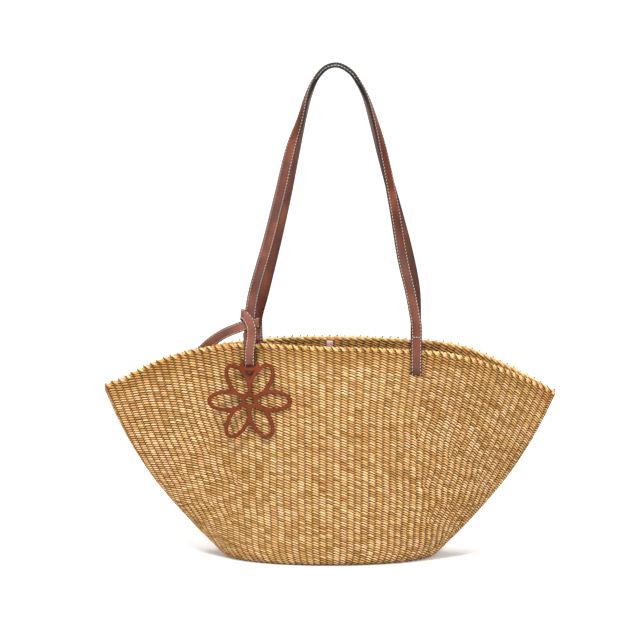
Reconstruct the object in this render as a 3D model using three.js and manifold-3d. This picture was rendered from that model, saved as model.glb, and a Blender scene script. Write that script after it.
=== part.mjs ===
// Straw basket bag: a fan-shaped twined basket, two leather shoulder straps and a tied-on leather charm.
// Millimetres, +Z up, the front faces -Y, and the origin is the middle of the base on the floor.
import * as THREE from 'three';
import { LoftGeometry } from 'three/addons/geometries/LoftGeometry.js';
import { mergeVertices } from 'three/addons/utils/BufferGeometryUtils.js';
import Module from 'manifold-3d';

const wasm = await Module();
wasm.setup();

// Basket
const bagWidth = 500;
const bagDepth = 149;
const bagHeight = 239;
const tipHeight = 187;
const wall = 4;
const floorDome = 0.6;
const creaseShare = 0.38;
const creaseSharpness = 6;
const gap = 0.3;

// Border braid on the wall's top edge
const braidHeight = 5.8;
const braidWidth = 6.4;

// Shoulder straps
const strapWidth = 12;
const strapThickness = 2.6;
const strapDrop = 311;
const footSpread = 92;
const slotBelowRim = 32;
const slotClearance = 0.4;
const bendRadius = 3;
const stitchAboveRim = 11;
const stitchPadHeight = 5;

// Strip that ties the charm to the front strap
const tieWidth = 11;
const tieThickness = 1.8;
const knotAboveRim = 26;
const foldAboveRim = -15;
const foldClearance = 0.8;

// Charm
const charmRadius = 46;
const charmThickness = 3;
const charmBand = 4.4;
const petalCount = 6;
const petalLength = 42;
const petalWidth = 24;
const hubRadius = 9;
const eyeHeight = 14;
const eyeClearance = 0.6;
const eyeCorner = 5;

// Small leather tab inside the back wall
const tabWidth = 7;
const tabHeight = 24;
const tabThickness = 1.8;

// Resolution
const aroundCount = 64;
const braidCount = 88;
const stepsPerLevel = 2;
const ellipseSides = 18;

// Outline of the wall from the flat base up to its top edge, as shares of the bag's sizes.
// up: height at the middle, tipUp: height at the two ends, reach: half width,
// depth: half depth, lens: 0 is an oval plan and 1 is a flat panel with straight sides to a point.
const levels = [
  { up: 0.000, tipUp: 0.000, reach: 0.448, depth: 0.805, lens: 0.00 },
  { up: 0.007, tipUp: 0.007, reach: 0.464, depth: 0.856, lens: 0.00 },
  { up: 0.030, tipUp: 0.028, reach: 0.486, depth: 0.906, lens: 0.00 },
  { up: 0.082, tipUp: 0.080, reach: 0.524, depth: 0.948, lens: 0.03 },
  { up: 0.205, tipUp: 0.190, reach: 0.604, depth: 0.987, lens: 0.12 },
  { up: 0.370, tipUp: 0.342, reach: 0.705, depth: 1.000, lens: 0.32 },
  { up: 0.536, tipUp: 0.502, reach: 0.798, depth: 0.973, lens: 0.55 },
  { up: 0.704, tipUp: 0.674, reach: 0.880, depth: 0.913, lens: 0.77 },
  { up: 0.852, tipUp: 0.834, reach: 0.944, depth: 0.826, lens: 0.92 },
  { up: 1.000, tipUp: 1.000, reach: 1.000, depth: 0.698, lens: 1.00 },
];

// How late the wall's top drops towards each end: a higher power keeps the shoulder up for longer.
const shoulderPower = { frontLeft: 3.8, backLeft: 3.0, frontRight: 2.3, backRight: 2.7 };

// Routes of the straps from the left foot to the right foot.
// across: share of the feet's spread, rise: share of the drop above the rim,
// depth: share of the foot's distance from the middle, turn: degrees from lying on top to facing out.
const frontRoute = [
  { across: -0.950, rise: 0.070, depth: 0.990, turn: 90 },
  { across: -0.920, rise: 0.166, depth: 0.900, turn: 90 },
  { across: -0.727, rise: 0.374, depth: 0.700, turn: 90 },
  { across: -0.593, rise: 0.531, depth: 0.540, turn: 88 },
  { across: -0.459, rise: 0.688, depth: 0.380, turn: 68 },
  { across: -0.334, rise: 0.793, depth: 0.260, turn: 36 },
  { across: -0.245, rise: 0.885, depth: 0.140, turn: 14 },
  { across: -0.155, rise: 0.940, depth: 0.060, turn: 2 },
  { across: -0.035, rise: 0.975, depth: 0.010, turn: 0 },
  { across: 0.095, rise: 0.982, depth: 0.000, turn: 0 },
  { across: 0.245, rise: 0.958, depth: 0.020, turn: 0 },
  { across: 0.345, rise: 0.918, depth: 0.080, turn: 4 },
  { across: 0.430, rise: 0.868, depth: 0.160, turn: 10 },
  { across: 0.522, rise: 0.785, depth: 0.270, turn: 24 },
  { across: 0.610, rise: 0.688, depth: 0.380, turn: 44 },
  { across: 0.745, rise: 0.496, depth: 0.570, turn: 62 },
  { across: 0.860, rise: 0.304, depth: 0.760, turn: 80 },
  { across: 0.960, rise: 0.180, depth: 0.890, turn: 90 },
  { across: 1.020, rise: 0.070, depth: 0.990, turn: 90 },
];
const backRoute = [
  { across: -0.890, rise: 0.070, depth: 0.990, turn: 90 },
  { across: -0.820, rise: 0.150, depth: 0.920, turn: 90 },
  { across: -0.649, rise: 0.359, depth: 0.720, turn: 88 },
  { across: -0.540, rise: 0.510, depth: 0.570, turn: 76 },
  { across: -0.440, rise: 0.660, depth: 0.420, turn: 52 },
  { across: -0.345, rise: 0.785, depth: 0.270, turn: 28 },
  { across: -0.250, rise: 0.880, depth: 0.150, turn: 10 },
  { across: -0.155, rise: 0.940, depth: 0.060, turn: 2 },
  { across: -0.035, rise: 0.975, depth: 0.010, turn: 0 },
  { across: 0.095, rise: 0.982, depth: 0.000, turn: 0 },
  { across: 0.245, rise: 0.958, depth: 0.020, turn: 0 },
  { across: 0.345, rise: 0.918, depth: 0.080, turn: 4 },
  { across: 0.430, rise: 0.868, depth: 0.160, turn: 10 },
  { across: 0.522, rise: 0.785, depth: 0.270, turn: 24 },
  { across: 0.630, rise: 0.670, depth: 0.400, turn: 44 },
  { across: 0.800, rise: 0.486, depth: 0.580, turn: 66 },
  { across: 0.960, rise: 0.300, depth: 0.760, turn: 84 },
  { across: 1.040, rise: 0.174, depth: 0.890, turn: 90 },
  { across: 1.055, rise: 0.070, depth: 0.990, turn: 90 },
];

const wallTop = bagHeight - braidHeight - gap;
const wallTopAtTip = tipHeight - braidHeight - gap;
const slotHeight = bagHeight - slotBelowRim;
const halfStrap = strapWidth / 2;
const stackOffset = strapThickness / 2 + gap;
const braidOverhang = (braidWidth - wall) / 2;
const tieStand = (strapThickness + tieThickness) / 2 + gap;
const foldRadius = (charmThickness + tieThickness) / 2 + foldClearance;

// Smooth value of every column of a table at t from 0 to 1, its rows evenly spaced in t.
function rowAt(rows, t) {
  const place = THREE.MathUtils.clamp(t, 0, 1) * (rows.length - 1);
  const first = Math.min(Math.floor(place), rows.length - 2);
  const share = place - first;
  const before = rows[Math.max(first - 1, 0)];
  const after = rows[Math.min(first + 2, rows.length - 1)];
  const row = {};
  for (const name of Object.keys(rows[0])) {
    const from = rows[first][name];
    const to = rows[first + 1][name];
    const leave = (to - before[name]) / 2;
    const arrive = (after[name] - from) / 2;
    const bend = 3 * (to - from) - 2 * leave - arrive;
    const twist = 2 * (from - to) + leave + arrive;
    row[name] = from + leave * share + bend * share ** 2 + twist * share ** 3;
  }
  return row;
}

// Plan of the wall's inner face: half depth at s, the signed share of the half width.
function planShare(s, lens) {
  const edge = 1 - Math.abs(s);
  const oval = Math.sqrt(Math.max(1 - s * s, 0));
  const side = edge / (1 - creaseShare);
  const panel = side <= 0 ? 0 : (1 + side ** -creaseSharpness) ** (-1 / creaseSharpness);
  return oval * (1 - lens) + panel * lens;
}

function powerAt(s, face) {
  if (face < 0) return s < 0 ? shoulderPower.frontLeft : shoulderPower.frontRight;
  return s < 0 ? shoulderPower.backLeft : shoulderPower.backRight;
}

// Height of the wall at level t; face is -1 for the front and 1 for the back.
function heightAt(level, s, face) {
  const middle = level.up * wallTop;
  const tip = level.tipUp * wallTopAtTip;
  return middle + (tip - middle) * Math.abs(s) ** powerAt(s, face);
}

function innerReach(level) {
  return level.reach * bagWidth / 2 - wall;
}

function innerDepth(level) {
  return level.depth * bagDepth / 2 - wall;
}

// One ring of the wall at level t, offset outwards from the inner face, counterclockwise from +X.
function wallRing(t, offset, count, lift = 0) {
  const level = rowAt(levels, t);
  const inner = [];
  for (let i = 0; i < count; i++) {
    const angle = i / count * Math.PI * 2;
    const s = Math.cos(angle);
    const face = Math.sin(angle) < 0 ? -1 : 1;
    const depth = i % (count / 2) === 0 ? 0 : face * innerDepth(level) * planShare(s, level.lens);
    inner.push(new THREE.Vector3(s * innerReach(level), depth, heightAt(level, s, face) + lift));
  }
  return inner.map((point, i) => {
    const next = inner[(i + 1) % count];
    const last = inner[(i + count - 1) % count];
    const outward = new THREE.Vector3(next.y - last.y, last.x - next.x, 0).normalize();
    return point.clone().addScaledVector(outward, offset);
  });
}

// Distance of the wall's inner or outer face from the middle plane at x and height z.
function wallDepth(x, z, face, outer) {
  let low = 0;
  let high = 1;
  for (let i = 0; i < 30; i++) {
    const middle = (low + high) / 2;
    const level = rowAt(levels, middle);
    if (heightAt(level, x / innerReach(level), face) < z) low = middle;
    else high = middle;
  }
  const level = rowAt(levels, low);
  const depthAt = (where) => innerDepth(level) * planShare(where / innerReach(level), level.lens);
  const slope = (depthAt(x + 1) - depthAt(x - 1)) / 2;
  return depthAt(x) + (outer ? wall * Math.hypot(1, slope) : 0);
}

function toSolid(geometry) {
  const plain = new THREE.BufferGeometry();
  plain.setAttribute('position', geometry.attributes.position);
  plain.setIndex(geometry.index);
  const merged = mergeVertices(plain, 1e-4);
  return new wasm.Manifold(new wasm.Mesh({
    numProp: 3,
    vertProperties: Float32Array.from(merged.attributes.position.array),
    triVerts: Uint32Array.from(merged.index.array),
  }));
}

function toGeometry(solid) {
  const mesh = solid.getMesh();
  const geometry = new THREE.BufferGeometry();
  geometry.setAttribute('position', new THREE.BufferAttribute(Float32Array.from(mesh.vertProperties), 3));
  geometry.setIndex(new THREE.BufferAttribute(Uint32Array.from(mesh.triVerts), 1));
  geometry.computeVertexNormals();
  return geometry;
}

// Flat band swept along knots of { place, face }, where face points out of its outer side.
function bandGeometry(knots, width, thickness, steps) {
  const route = new THREE.CatmullRomCurve3(knots.map((knot) => knot.place), false, 'centripetal');
  const facing = new THREE.CatmullRomCurve3(knots.map((knot) => knot.face), false, 'centripetal');
  const count = (knots.length - 1) * steps;
  const sections = [];
  for (let i = 0; i <= count; i++) {
    const centre = route.getPoint(i / count);
    const along = route.getTangent(i / count);
    const out = facing.getPoint(i / count);
    out.addScaledVector(along, -out.dot(along)).normalize();
    const side = new THREE.Vector3().crossVectors(out, along);
    const corner = (a, b) => centre.clone()
      .addScaledVector(side, a * width / 2)
      .addScaledVector(out, b * thickness / 2);
    sections.push([corner(1, 1), corner(-1, 1), corner(-1, -1), corner(1, -1)]);
  }
  return new LoftGeometry(sections, { capStart: true, capEnd: true });
}

// Wall, rim edge and floor of the basket as one hollow shell.
function basketGeometry() {
  const last = (levels.length - 1) * stepsPerLevel;
  const sections = [];
  for (let i = 0; i <= last; i++) {
    sections.push(wallRing(i / last, wall, aroundCount));
  }
  for (let i = last; i > stepsPerLevel; i -= stepsPerLevel) {
    sections.push(wallRing(i / last, 0, aroundCount));
  }
  const floorEdge = wallRing(stepsPerLevel / last, 0, aroundCount);
  floorEdge.forEach((point) => { point.z = wall; });
  sections.push(floorEdge);
  sections.push(floorEdge.map((point) => new THREE.Vector3(point.x / 2, point.y / 2, wall + floorDome)));
  return new LoftGeometry(sections, { capStart: true, capEnd: true });
}

// Places of the four strap feet: x and the face of the wall they hang on.
function strapFeet(route, face) {
  const ends = [route[0], route[route.length - 1]];
  return ends.map((row) => ({ x: row.across * footSpread, face }));
}

function slotCutter({ x, face }) {
  const width = strapWidth + 2 * slotClearance;
  const height = strapThickness + 2 * slotClearance;
  const reach = 4 * wall + bendRadius;
  const box = new THREE.BoxGeometry(width, reach, height);
  const depth = wallDepth(x, slotHeight, face, true) - wall / 2;
  box.translate(x, face * depth, slotHeight);
  return toSolid(box);
}

function slottedBasketGeometry() {
  let solid = toSolid(basketGeometry());
  const feet = [...strapFeet(frontRoute, -1), ...strapFeet(backRoute, 1)];
  for (const foot of feet) solid = solid.subtract(slotCutter(foot));
  return toGeometry(solid);
}

// Closed loop of the border braid, standing on the wall's top edge.
function braidGeometry() {
  const centres = wallRing(1, wall / 2, braidCount, gap + braidHeight / 2);
  const sides = 8;
  const sections = centres.map((centre, i) => {
    const next = centres[(i + 1) % braidCount];
    const last = centres[(i + braidCount - 1) % braidCount];
    const inward = new THREE.Vector3(last.y - next.y, next.x - last.x, 0).normalize();
    const ring = [];
    for (let j = 0; j < sides; j++) {
      const angle = (j + 0.5) / sides * Math.PI * 2;
      const point = centre.clone().addScaledVector(inward, Math.cos(angle) * braidWidth / 2);
      point.z += Math.sin(angle) * braidHeight / 2;
      ring.push(point);
    }
    return ring;
  });
  sections.push(sections[0].map((point) => point.clone()));
  return new LoftGeometry(sections);
}

// Depths of a strap's two legs at height z, where it hugs the outside and the inside of the wall.
function legDepths({ x, face }, z) {
  const nearMiddle = Math.sign(x) * (Math.abs(x) - halfStrap);
  const nearTip = Math.sign(x) * (Math.abs(x) + halfStrap);
  const overhang = z > wallTop - 2 * braidHeight ? braidOverhang : 0;
  const stand = gap + overhang + strapThickness / 2;
  return {
    outer: wallDepth(nearMiddle, Math.min(z, wallTop - braidHeight), face, true) + stand,
    inner: wallDepth(nearTip, Math.min(z, wallTop), face, false) - stand - gap,
  };
}

// From the strap's sewn end down inside the wall, out through the slot and up outside to the rim.
function footKnots(foot) {
  const { x, face } = foot;
  const out = new THREE.Vector3(0, face, 0);
  const down = new THREE.Vector3(0, 0, -1);
  const diagonal = (sign) => new THREE.Vector3(0, sign * face, -1).normalize();
  const knot = (depth, z, facing) => ({ place: new THREE.Vector3(x, face * depth, z), face: facing });
  const inwards = out.clone().negate();
  const rim = legDepths(foot, bagHeight);
  const belowRim = legDepths(foot, bagHeight - 3 * braidHeight);
  const low = {
    outer: legDepths(foot, slotHeight - bendRadius).outer,
    inner: legDepths(foot, slotHeight + 2 * bendRadius).inner,
  };
  const corner = bendRadius * (1 - Math.SQRT1_2);
  const sewnDepth = rim.outer - strapThickness - gap;
  return [
    knot(sewnDepth, bagHeight + stitchAboveRim + stitchPadHeight / 2, inwards),
    knot(sewnDepth, bagHeight + stitchAboveRim - stitchPadHeight / 2, inwards),
    knot(rim.inner, bagHeight, inwards),
    knot(rim.inner, bagHeight - braidHeight, inwards),
    knot(belowRim.inner, bagHeight - 3 * braidHeight, inwards),
    knot(low.inner, slotHeight + bendRadius, inwards),
    knot(low.inner + corner, slotHeight + corner, diagonal(-1)),
    knot(low.inner + bendRadius, slotHeight, down),
    knot(low.outer - bendRadius, slotHeight, down),
    knot(low.outer - corner, slotHeight + corner, diagonal(1)),
    knot(low.outer, slotHeight + bendRadius, out),
    knot(belowRim.outer, bagHeight - 3 * braidHeight, out),
    knot(rim.outer, bagHeight - braidHeight, out),
    knot(rim.outer, bagHeight + braidHeight, out),
  ];
}

// The free part of a strap over the shoulder, with its quarter twist on each side of the top.
function archKnots(route, face) {
  const feet = strapFeet(route, face);
  const footDepths = feet.map((foot) => legDepths(foot, bagHeight).outer);
  const points = route.map((row) => new THREE.Vector3(
    row.across * footSpread,
    face * row.depth * (row.across < 0 ? footDepths[0] : footDepths[1]),
    bagHeight + row.rise * strapDrop,
  ));
  return route.map((row, i) => {
    const last = points[Math.max(i - 1, 0)];
    const next = points[Math.min(i + 1, points.length - 1)];
    const upward = new THREE.Vector3(last.z - next.z, 0, next.x - last.x).normalize();
    const turn = THREE.MathUtils.degToRad(row.turn);
    const facing = upward.clone().multiplyScalar(Math.cos(turn));
    facing.y = face * Math.sin(turn);
    const place = points[i].clone().addScaledVector(upward, -face * stackOffset * Math.cos(turn));
    return { place, face: facing };
  });
}

function strapKnots(route, face) {
  const [left, right] = strapFeet(route, face);
  return [...footKnots(left), ...archKnots(route, face), ...footKnots(right).reverse()];
}

// Pad of stitching that joins a strap's end to the strap above the rim.
function stitchPad(foot) {
  const depth = legDepths(foot, bagHeight).outer - (strapThickness + gap) / 2;
  const pad = new THREE.BoxGeometry(strapWidth - 1, strapThickness, stitchPadHeight - 1);
  pad.translate(foot.x, foot.face * depth, bagHeight + stitchAboveRim);
  return toSolid(pad);
}

function strapGeometry(route, face) {
  let solid = toSolid(bandGeometry(strapKnots(route, face), strapWidth, strapThickness, 3));
  for (const foot of strapFeet(route, face)) solid = solid.add(stitchPad(foot));
  return toGeometry(solid);
}

// Frame on the front strap's left leg at height z: its centre, and unit vectors along and out of it.
function leftLegFrame(z) {
  const knots = strapKnots(frontRoute, -1).slice(10, 19);
  const route = new THREE.CatmullRomCurve3(knots.map((knot) => knot.place), false, 'centripetal');
  let low = 0;
  let high = 1;
  for (let i = 0; i < 30; i++) {
    const middle = (low + high) / 2;
    if (route.getPoint(middle).z < z) low = middle;
    else high = middle;
  }
  const up = route.getTangent(low);
  const side = new THREE.Vector3(1, 0, 0).addScaledVector(up, -up.x).normalize();
  const out = new THREE.Vector3().crossVectors(side, up);
  return { centre: route.getPoint(low), side, up, out };
}

// Route of the charm's strip: out of the basket, round the strap, down through the charm's eye and up.
// Across and up are from the strap's middle at the knot, out is in front of the strap's middle.
function tieKnots() {
  const knotHeight = bagHeight + knotAboveRim;
  const foldUp = foldAboveRim - knotAboveRim;
  const first = tieStand;
  const second = first + tieThickness + gap;
  const fold = foldRadius;
  const outer = first + 2 * fold;
  const slack = 2 * gap;
  const wrap = (first + second) / 2;
  const wrapMiddle = (second - first) / 2;
  const bow = Math.SQRT1_2;
  const front = [0, 1, 0];
  const back = [0, -1, 0];
  const widths = (share) => share * tieWidth;
  const rows = [
    [widths(-1.18), widths(-0.45), first + slack, front],
    [widths(-0.55), widths(-0.18), first + gap, front],
    [0, 0, first + gap, front],
    [halfStrap, widths(0.09), first, front],
    [halfStrap + first * bow, widths(0.14), first * bow, [1, 1, 0]],
    [halfStrap + first, widths(0.18), 0, [1, 0, 0]],
    [halfStrap + first * bow, widths(0.23), -first * bow, [1, -1, 0]],
    [halfStrap, widths(0.27), -first, back],
    [0, widths(0.46), -first - gap, back],
    [-halfStrap, widths(0.68), -first, back],
    [-halfStrap - wrap * bow, widths(0.77), wrapMiddle - wrap * bow, [-1, -1, 0]],
    [-halfStrap - wrap, widths(0.86), wrapMiddle, [-1, 0, 0]],
    [-halfStrap - wrap * bow, widths(0.86), wrapMiddle + wrap * bow, [-1, 1, 0]],
    [-halfStrap, widths(0.77), second, front],
    [widths(-0.14), widths(0.36), second + slack, front],
    [widths(0.18), widths(-0.36), second + slack, front],
    [widths(0.23), widths(-1.09), second + slack, front],
    [widths(0.09), widths(-2.00), outer - gap, front],
    [0, foldUp + widths(0.91), outer, front],
    [0, foldUp, outer, front],
    [0, foldUp - fold * bow, first + fold * (1 + bow), [0, 1, -1]],
    [0, foldUp - fold, first + fold, [0, 0, -1]],
    [0, foldUp - fold * bow, first + fold * (1 - bow), [0, -1, -1]],
    [0, foldUp, first, back],
    [0, foldUp + widths(0.91), first, back],
    [widths(-0.09), widths(-1.82), first, back],
    [widths(-0.14), widths(-0.86), first, back],
  ];
  const knots = rows.map(([across, up, out, facing]) => {
    const leg = leftLegFrame(knotHeight + up);
    const local = (a, b, c) => new THREE.Vector3()
      .addScaledVector(leg.side, a)
      .addScaledVector(leg.out, b)
      .addScaledVector(leg.up, c);
    return { place: leg.centre.clone().add(local(across, out, 0)), face: local(...facing) };
  });
  return [...tailKnots(), ...knots];
}

// The strip's tail inside the basket, up over the front rim and across to the knot.
// across, depth and up are shares of the bag's half width, half depth and height.
function tailKnots() {
  const rows = [
    { across: -0.688, depth: -0.054, up: 0.745 },
    { across: -0.660, depth: -0.094, up: 0.828 },
    { across: -0.604, depth: -0.174, up: 0.921 },
    { across: -0.536, depth: -0.295, up: 1.000 },
    { across: -0.468, depth: -0.483, up: 1.054 },
  ];
  return rows.map(({ across, depth, up }) => ({
    place: new THREE.Vector3(across * bagWidth / 2, depth * bagDepth / 2, up * bagHeight),
    face: new THREE.Vector3(-0.35, -1, 0).normalize(),
  }));
}

function ellipseShape(width, height, band) {
  const shape = new THREE.Shape();
  shape.absellipse(0, 0, width / 2, height / 2, 0, Math.PI * 2);
  const hole = new THREE.Path();
  hole.absellipse(0, 0, width / 2 - band, height / 2 - band, 0, Math.PI * 2);
  shape.holes.push(hole);
  return shape;
}

function roundedOutline(path, width, height, radius) {
  const x = width / 2;
  const y = height / 2;
  path.moveTo(radius - x, -y);
  path.lineTo(x - radius, -y);
  path.absarc(x - radius, radius - y, radius, -Math.PI / 2, 0);
  path.absarc(x - radius, y - radius, radius, 0, Math.PI / 2);
  path.absarc(radius - x, y - radius, radius, Math.PI / 2, Math.PI);
  path.absarc(radius - x, radius - y, radius, Math.PI, Math.PI * 1.5);
  return path;
}

// Flat-topped eye that the tie passes through.
function eyeShape() {
  const holeWidth = tieWidth + 2 * eyeClearance;
  const holeHeight = eyeHeight - 2 * charmBand;
  const shape = roundedOutline(new THREE.Shape(), holeWidth + 2 * charmBand, eyeHeight, eyeCorner);
  shape.holes.push(roundedOutline(new THREE.Path(), holeWidth, holeHeight, eyeCorner - charmBand));
  return shape;
}

// Flat leather ring in the XZ plane, its middle at (x, z), turned by the given angle.
function ringSolid(shape, angle, x, z) {
  const depth = charmThickness;
  const geometry = new THREE.ExtrudeGeometry(shape, {
    depth, bevelEnabled: false, curveSegments: ellipseSides,
  });
  geometry.translate(0, 0, -depth / 2);
  geometry.rotateZ(angle);
  geometry.translate(x, z, 0);
  geometry.rotateX(Math.PI / 2);
  return toSolid(geometry);
}

// Openwork rosette: overlapping oval petals, a small hub ring and a hanging eye at the top.
function charmGeometry() {
  const petalCentre = charmRadius - petalLength / 2;
  let solid = ringSolid(ellipseShape(2 * hubRadius, 2 * hubRadius, charmBand), 0, 0, 0);
  for (let i = 0; i < petalCount; i++) {
    const angle = i / petalCount * Math.PI * 2;
    const x = Math.cos(angle) * petalCentre;
    const z = Math.sin(angle) * petalCentre;
    solid = solid.add(ringSolid(ellipseShape(petalLength, petalWidth, charmBand), angle, x, z));
  }
  solid = solid.add(ringSolid(eyeShape(), 0, 0, charmRadius - eyeHeight / 2));
  return toGeometry(solid);
}

function addMesh(group, name, geometry, color, roughness) {
  const material = new THREE.MeshStandardMaterial({ color, roughness, metalness: 0 });
  const mesh = new THREE.Mesh(geometry, material);
  mesh.name = name;
  group.add(mesh);
  return mesh;
}

// Angle at which the charm, hung at x and z with its middle at the given depth, just rests on the wall.
function restingLean(x, z, depth) {
  let lean = 0;
  const drop = 2 * charmRadius - charmBand;
  for (let down = drop / 4; down <= drop; down += drop / 16) {
    for (let across = -charmRadius; across <= charmRadius; across += charmRadius / 8) {
      if (Math.hypot(across, down - charmRadius) > charmRadius) continue;
      const needed = wallDepth(x + across, z - down, -1, true) + gap + charmThickness / 2;
      lean = Math.max(lean, Math.atan2(needed - depth, down));
    }
  }
  return lean;
}

// The charm hangs on the tie's fold and rests on the wall behind it.
function addCharm(group) {
  const mesh = addMesh(group, 'charm', charmGeometry(), 0x7c381c, 0.75);
  const leg = leftLegFrame(bagHeight + foldAboveRim - foldRadius);
  const holder = new THREE.Group();
  holder.position.copy(leg.centre)
    .addScaledVector(leg.out, tieStand + foldRadius)
    .addScaledVector(leg.up, tieThickness / 2 + 2 * gap + charmBand / 2);
  holder.rotation.x = -restingLean(holder.position.x, holder.position.z, -holder.position.y);
  mesh.position.z = charmBand / 2 - charmRadius;
  holder.add(mesh);
  group.add(holder);
}

function addTab(group) {
  const plate = new THREE.BoxGeometry(tabWidth, tabThickness, tabHeight);
  const mesh = addMesh(group, 'inner_tab', plate, 0xb9827a, 0.6);
  const topZ = wallTop - gap;
  const top = wallDepth(0, topZ, 1, false);
  const foot = wallDepth(0, topZ - tabHeight, 1, false);
  mesh.position.set(0, (top + foot) / 2 - tabThickness / 2 - 2 * gap, topZ - tabHeight / 2);
  mesh.rotation.x = Math.atan2(foot - top, tabHeight);
}

const bag = new THREE.Group();
addMesh(bag, 'basket_body', slottedBasketGeometry(), 0xd9b270, 0.85);
addMesh(bag, 'rim_braid', braidGeometry(), 0xcfa662, 0.85);
addMesh(bag, 'front_strap', strapGeometry(frontRoute, -1), 0x753e2a, 0.5);
addMesh(bag, 'back_strap', strapGeometry(backRoute, 1), 0x753e2a, 0.5);
addMesh(bag, 'charm_tie', bandGeometry(tieKnots(), tieWidth, tieThickness, 3), 0x8a5242, 0.55);
addCharm(bag);
addTab(bag);

export default bag;
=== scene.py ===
# Looks of a straw basket bag: twined wall, bound mouth, stitched straps, knotted strip and charm.
# Metres, +Z up, the front faces -Y. Sizes and tables are those of the CAD part, but for the
# rim's hand-made waves and the height of the straps' slots, which follow the photo more closely.
import math

import bpy
import numpy as np
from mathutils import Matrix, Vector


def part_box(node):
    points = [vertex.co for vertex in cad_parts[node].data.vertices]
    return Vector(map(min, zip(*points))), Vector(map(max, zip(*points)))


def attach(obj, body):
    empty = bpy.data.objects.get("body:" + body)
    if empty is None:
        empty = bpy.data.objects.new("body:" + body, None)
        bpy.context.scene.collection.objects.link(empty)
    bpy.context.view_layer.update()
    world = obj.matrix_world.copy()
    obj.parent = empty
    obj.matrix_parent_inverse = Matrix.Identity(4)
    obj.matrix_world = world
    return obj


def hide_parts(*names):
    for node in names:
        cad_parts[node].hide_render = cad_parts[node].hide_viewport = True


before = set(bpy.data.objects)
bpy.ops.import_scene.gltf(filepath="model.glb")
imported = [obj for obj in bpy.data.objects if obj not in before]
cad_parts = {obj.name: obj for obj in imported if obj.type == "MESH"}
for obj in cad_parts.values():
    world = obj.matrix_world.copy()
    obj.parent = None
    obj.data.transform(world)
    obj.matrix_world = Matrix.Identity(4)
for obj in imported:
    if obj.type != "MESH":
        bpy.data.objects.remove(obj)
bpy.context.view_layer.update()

MM = 0.001
SEED = 7
chance = np.random.default_rng(SEED)

# Basket
BAG_WIDTH = 500 * MM
BAG_DEPTH = 149 * MM
BAG_HEIGHT = 239 * MM
TIP_HEIGHT = 187 * MM
WALL = 4 * MM
CREASE_SHARE = 0.38
CREASE_SHARPNESS = 6
GAP = 0.3 * MM
BRAID_HEIGHT = 5.8 * MM
BRAID_WIDTH = 6.4 * MM
WALL_TOP = BAG_HEIGHT - BRAID_HEIGHT - GAP
WALL_TOP_AT_TIP = TIP_HEIGHT - BRAID_HEIGHT - GAP

# Straps, tie and charm
STRAP_WIDTH = 12 * MM
STRAP_THICKNESS = 2.6 * MM
STRAP_DROP = 311 * MM
FOOT_SPREAD = 92 * MM
SLOT_BELOW_RIM = 29 * MM
BEND_RADIUS = 3 * MM
STITCH_ABOVE_RIM = 11 * MM
STITCH_PAD_HEIGHT = 5 * MM
TIE_WIDTH = 11 * MM
TIE_THICKNESS = 1.8 * MM
KNOT_ABOVE_RIM = 26 * MM
FOLD_ABOVE_RIM = -15 * MM
FOLD_CLEARANCE = 0.8 * MM
CHARM_RADIUS = 46 * MM
CHARM_THICKNESS = 3 * MM
CHARM_BAND = 4.4 * MM
PETAL_COUNT = 6
PETAL_LENGTH = 42 * MM
PETAL_WIDTH = 24 * MM
HUB_RADIUS = 9 * MM
EYE_HEIGHT = 14 * MM
EYE_CLEARANCE = 0.6 * MM

SLOT_HEIGHT = BAG_HEIGHT - SLOT_BELOW_RIM
STACK_OFFSET = STRAP_THICKNESS / 2 + GAP
BRAID_OVERHANG = (BRAID_WIDTH - WALL) / 2
TIE_STAND = (STRAP_THICKNESS + TIE_THICKNESS) / 2 + GAP
FOLD_RADIUS = (CHARM_THICKNESS + TIE_THICKNESS) / 2 + FOLD_CLEARANCE

# How finely lines are worked out, and what keeps a power, a direction and a curve's gaps off zero.
LINE_POINTS = 361
PROFILE_POINTS = 2001
HALVINGS = 30
TINY = 1e-6
NUDGE = 1e-9
SAME_PLACE = 1e-5

# Weave
ROW_PITCH = 2.8 * MM
FIRST_ROW_RISE = 2.9 * MM
STRAND_SWAY = 1.05 * MM
STRAND_DEPTH = 0.95 * MM
STRAND_FILL = 0.87
DIVE_SIZE = 0.56
DIVE_OUT = 0.55
# Painted light and shade where a strand dives, as shares of its colour: its outer side is painted
# lit at a stitch's high end and dark at its low end, a painted pit, and the reverse on its inner
# side.
DIVE_PAINTED_LIGHT = 0.7
DIVE_PAINTED_SHADE = 0.0
STRAND_SIDES = 6
ROW_JITTER = 0.15 * MM
THICKNESS_JITTER = 0.1
QUARTER_STAKES = 21
BIRTH_RAMP = 0.1
# Round a strand's section from its outward side upwards: how much of its colour shows, its lower
# sides painted shade as if lit from above, and whether each side faces out or in.
SECTION_PAINTED_LIGHT = np.array([0.92, 0.95, 0.95, 0.92, 0.0, 0.0])
SECTION_OUT = np.array([1, 1, -1, -1, -1, 1])

# A strand from one dive to the next: it crosses the other strand, lies out in front and falls.
# Columns: stakes along, share of the way out, row pitches across the row.
STITCH_SHAPE = np.array([(-0.5, 0.0, -0.3), (-0.27, 1.0, -0.32), (0.27, 1.0, 0.32)])

# How far the rows part round a strap's slot: to each side as a share of the strap, and up or down.
SLOT_REACH = 0.62
SLOT_PARTING = STRAP_THICKNESS / 2 + ROW_PITCH / 4

# Share of the rows that a wall's lower piece takes.
LOW_SHARE = 0.55

# The layer of stakes inside the weave: half its thickness, its steps along the weave's rows and
# their points, and the line where it closes in the base, as shares of the base's edge.
CORE_HALF = 0.35 * MM
CORE_ROWS = 2
CORE_POINTS = 4
CORE_SPINE = np.array([0.5, 0.03, 0])

# Rows counted down from the rim, and how pale their strands are: the topmost are painted browner,
# as shade under the border.
RIM_PAINTED_SHADE = ((1, 3, 7), (0.2, 0.35, 1.0))
# Rows counted up from the floor, and how much of their colour shows: the lowest lies in the shade.
FOOT_SHADE = ((0, 1, 2), (0.3, 0.75, 1.0))

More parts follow.
